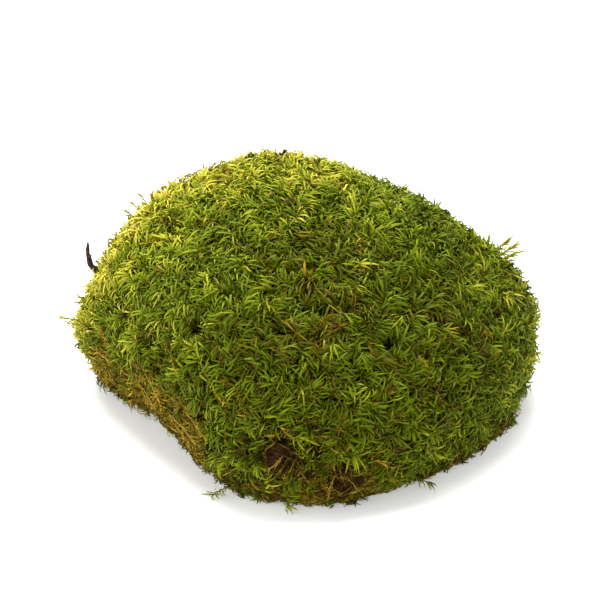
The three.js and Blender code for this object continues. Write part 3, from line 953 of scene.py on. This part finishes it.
def path_of(node, stations):
    """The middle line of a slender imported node, from its rooted end to its free end."""
    places = places_of(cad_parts[node].data).astype(float)
    middle = places.mean(0)
    axis = np.linalg.svd(places - middle, full_matrices=False)[2][0]
    along = (places - middle) @ axis
    edges = np.linspace(along.min(), along.max(), stations + 1)
    path = []
    for low, high in zip(edges[:-1], edges[1:]):
        inside = places[(along >= low - STATION_OVERLAP) & (along <= high + STATION_OVERLAP)]
        path.append(Vector((inside.min(0) + inside.max(0)) / 2))
    heart = Vector((0, 0, mound_low[2]))
    if (path[0] - heart).length > (path[-1] - heart).length:
        path.reverse()
    return path


def stray_shoot(node, tone, leaves, size, first, spread):
    """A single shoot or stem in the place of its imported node, made of leaves along a stem."""
    dice = random.Random(node)
    path = path_of(node, STEM_STATIONS)
    aside = Vector((dice.uniform(-0.7, 0.7), dice.uniform(-0.7, 0.7), -0.2))
    sweep = (path[-1] - path[0]).normalized() * 0.7 + aside
    growth = Growth()
    add_shoot(growth, path, sweep.normalized(), leaves, size, tone, dice, first, spread)
    piece = add_piece(node + "_leafy", growth.to_mesh(node + "_leafy"), growth_paint)
    for point in piece.data.vertices:
        point.co.z = max(point.co.z, LEAF_ABOVE_TABLE)
    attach(piece, "root")
    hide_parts(node)
    return piece


for tuft, look in TUFTS.items():
    for number in range(1, look["shoots"] + 1):
        shoot = stray_shoot(f"{tuft}_shoot_{number}", tone=look["tone"], leaves=24, size=look["size"],
                            first=0.3, spread=0.5)
for number in range(1, LYING_SHOOTS + 1):
    shoot = stray_shoot(f"lying_shoot_{number}", tone=0.72, leaves=26, size=0.85, first=0.1,
                        spread=0.45)
for number in range(1, DEAD_STEMS + 1):
    stem = stray_shoot(f"dead_stem_{number}", tone=0.12 + 0.007 * number, leaves=18, size=0.6,
                       first=0.1, spread=0.3)

by_clods = np.clip(near_clods, 0, 1)
straw_skin = mound.copy()
put_places(straw_skin, skin + skin_normals * OLD_STEM_RISE)
sow(straw_skin, grows=np.clip(straw_share + 0.7 * by_clods, 0, 1), tone=0.17,
    browned=0.1 + 0.6 * by_clods, comb=(0.75, -0.6, -0.35))
straw_mesh = plant("combed_old_stems", straw_skin, Forms=old_stem_forms, Paint=growth_paint,
                   Spacing=OLD_STEM_SPACING, Lean=1.2, Lying=0.6, Roll=0.3, Smallest=0.7,
                   Largest=1.3, Patches=110.0, Mottle=0.1, Scatter=0.05, Sink=0.0, Seed=61)
straw = add_piece("combed_old_stems", straw_mesh, growth_paint)
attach(straw, "root")

fringe_skin = felt_mesh.copy()
sow(fringe_skin, grows=(np.abs(felt_normals[:, 2]) < 0.9) * by_hem, tone=0.18, browned=0.12,
    comb=(0.75, -0.6, -0.15))
fringe_mesh = plant("hem_fringe", fringe_skin, Forms=old_stem_forms, Paint=growth_paint,
                    Spacing=FRINGE_SPACING, Lean=1.3, Lying=0.8, Roll=0.5, Smallest=0.6, Largest=1.1,
                    Patches=110.0, Mottle=0.1, Scatter=0.05, Sink=-0.3 * MM, Seed=66)
fringe = add_piece("hem_fringe", fringe_mesh, growth_paint)
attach(fringe, "root")

# ---------------------------------------------------------------- Stray twig
# A dark, weathered twig with worn bark, stuck upright in the left edge, with the stub of a side
# shoot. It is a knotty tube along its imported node, ending in a point.

TWIG_STATIONS = 9
TWIG_RADIUS = 1.15
TWIG_TAPER = 0.08
TWIG_POINT = 0.2 * MM
TWIG_TONE = 0.1
SNAG_STATION = 5
SNAG_WAY = Vector((0.35, -0.8, 0.75))
SNAG_RADII = [0.4 * MM, 0.36 * MM, 0.3 * MM, 0.08 * MM]


def paint_bark(tree):
    """Dark grey-brown bark, blotched and worn."""
    blotches = object_noise(tree, scale=900, roughness=0.7)
    colour = tree.add("ShaderNodeValToRGB", {"stops": [
        (0.35, srgb(26, 18, 14)), (0.55, srgb(60, 44, 34)), (0.7, srgb(104, 84, 66)),
    ]}, {"Fac": blotches})
    bump = tree.add("ShaderNodeBump", inputs={"Height": blotches, "Distance": 0.3 * MM, "Strength": 0.9})
    return {"Base Color": colour, "Roughness": 0.9 - blotches * 0.2, "Normal": bump,
            "Specular IOR Level": 0.25}


def make_twig():
    """Rings along the twig's line with a knotty girth, and a thin snag that leaves it half way up."""
    dice = random.Random(7)
    path = path_of("stray_twig", TWIG_STATIONS)
    growth = Growth()
    radii = [(TWIG_RADIUS - TWIG_TAPER * step) * MM * dice.uniform(0.85, 1.15)
             for step in range(TWIG_STATIONS)]
    radii[-1] = TWIG_POINT
    growth.tube(path, radii, TWIG_TONE, columns=9)
    snag = [path[SNAG_STATION] + SNAG_WAY * MM * step * 0.8 for step in range(len(SNAG_RADII))]
    growth.tube(snag, SNAG_RADII, TWIG_TONE, columns=6)
    return growth.to_mesh("weathered_twig")


twig = add_piece("weathered_twig", make_twig(), finish_paint("twig_bark", paint_bark))
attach(twig, "root")
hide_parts("stray_twig")
